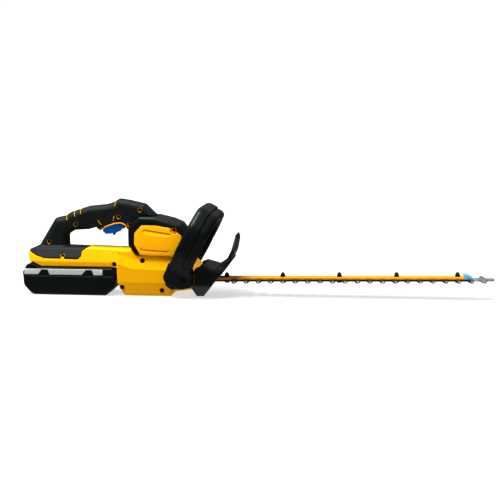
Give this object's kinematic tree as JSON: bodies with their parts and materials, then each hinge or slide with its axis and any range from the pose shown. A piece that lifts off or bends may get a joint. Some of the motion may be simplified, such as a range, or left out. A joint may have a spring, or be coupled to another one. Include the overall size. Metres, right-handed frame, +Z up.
{
  "type": "cordless hedge trimmer",
  "caption": "Battery hedge trimmer with a rear grip, a leaning front loop handle, a hand guard and a long double-sided reciprocating blade.",
  "frame": {"origin": "on the flat bottom of the main housing, in the tool's middle plane, in the plane the tool stands on", "axes": "+X to the blade tip, +Y to the tool's left side, +Z up"},
  "size_m": [1.0776, 0.196, 0.2215],
  "materials": {
    "yellow_plastic": "satin",
    "soft_black": "matte",
    "black_plastic": "satin",
    "blue_plastic": "satin",
    "silver": "satin",
    "steel": "satin",
    "dark_steel": "satin",
    "bar_yellow": "satin",
    "bare_aluminium": "satin",
    "copper": "satin",
    "cell_wrap": "satin",
    "board_green": "matte"
  },
  "bodies": {
    "body": {"housing_right": "yellow_plastic", "housing_left": "yellow_plastic", "grip_overmould_right": "soft_black", "grip_overmould_left": "soft_black", "motor_shroud_right": "black_plastic", "motor_shroud_left": "black_plastic", "motor_cover_right": "yellow_plastic", "motor_cover_left": "yellow_plastic", "housing_screw_01": "dark_steel", "housing_screw_02": "dark_steel", "housing_screw_03": "dark_steel", "housing_screw_04": "dark_steel", "housing_screw_05": "dark_steel", "housing_screw_06": "dark_steel", "housing_screw_07": "dark_steel", "housing_screw_08": "dark_steel", "housing_screw_09": "dark_steel", "housing_screw_10": "dark_steel", "housing_screw_11": "dark_steel", "trigger_pin": "steel", "trigger_spring": "steel", "trigger_switch": "black_plastic", "front_handle_rear_shell": "black_plastic", "front_handle_front_shell": "black_plastic", "handle_shell_screw_1": "dark_steel", "handle_shell_screw_2": "dark_steel", "handle_foot_screw_right": "dark_steel", "handle_foot_screw_left": "dark_steel", "hand_guard": "black_plastic", "motor_can": "steel", "gear_case_lower": "bare_aluminium", "gear_case_upper": "bare_aluminium", "blade_support_bar": "bar_yellow", "bar_tip_block": "silver", "blade_bolt_1": "dark_steel", "blade_bolt_2": "dark_steel", "blade_bolt_3": "dark_steel", "blade_bolt_4": "dark_steel", "blade_bolt_5": "dark_steel", "blade_nut_1": "dark_steel", "blade_nut_2": "dark_steel", "blade_nut_3": "dark_steel", "blade_nut_4": "dark_steel", "blade_nut_5": "dark_steel", "terminal_block": "black_plastic", "controller_board": "board_green"},
    "trigger": {"trigger": "blue_plastic"},
    "lock_off": {"lock_off_lever": "blue_plastic"},
    "crank": {"crank_shaft": "steel", "drive_gear": "steel"},
    "rotor": {"motor_rotor": "copper", "motor_pinion": "steel"},
    "upper_blade": {"upper_blade": "steel"},
    "lower_blade": {"lower_blade": "steel"},
    "battery": {"battery_case_lower": "black_plastic", "battery_case_upper": "black_plastic", "battery_badge_right": "silver", "battery_badge_left": "silver", "battery_cells": "cell_wrap"},
    "latch": {"battery_latch": "soft_black"}
  },
  "joints": [
    {"name": "trigger_squeeze", "type": "hinge", "parent": "body", "child": "trigger", "pos_m": [-0.063, 0, 0.16], "axis": [0, 1, 0], "range_deg": [0, 12], "stiffness_Nm_per_rad": 0.4, "springref_deg": -17.19, "deforming": ["trigger_spring"]},
    {"name": "lock_off_pull", "type": "hinge", "parent": "trigger", "child": "lock_off", "pos_m": [-0.0725, 0, 0.1505], "axis": [0, 1, 0], "range_deg": [0, 12], "stiffness_Nm_per_rad": 0.02, "springref_deg": -17.19},
    {"name": "crank_spin", "type": "hinge", "parent": "body", "child": "crank", "pos_m": [0.06399, 0, 0.03382], "axis": [-0.0175, 0, 0.9998], "continuous": true},
    {"name": "motor_spin", "type": "hinge", "parent": "body", "child": "rotor", "pos_m": [0.022, 0, 0.03308], "axis": [-0.0175, 0, 0.9998], "continuous": true},
    {"name": "upper_blade_slide", "type": "slide", "parent": "body", "child": "upper_blade", "axis": [0.9998, 0, 0.0175], "range_m": [-0.007, 0.007]},
    {"name": "lower_blade_slide", "type": "slide", "parent": "body", "child": "lower_blade", "axis": [0.9998, 0, 0.0175], "range_m": [-0.007, 0.007]},
    {"name": "battery_slide", "type": "slide", "parent": "body", "child": "battery", "axis": [-1, 0, 0], "range_m": [0, 0.21]},
    {"name": "battery_latch_press", "type": "slide", "parent": "battery", "child": "latch", "axis": [1, 0, 0], "range_m": [0, 0.004], "stiffness_N_per_m": 250, "springref_m": -0.003}
  ],
  "couplings": [
    {"joint": "motor_spin", "follows": "crank_spin", "ratio": -3.6667},
    {"joint": "lower_blade_slide", "follows": "upper_blade_slide", "ratio": -1}
  ]
}
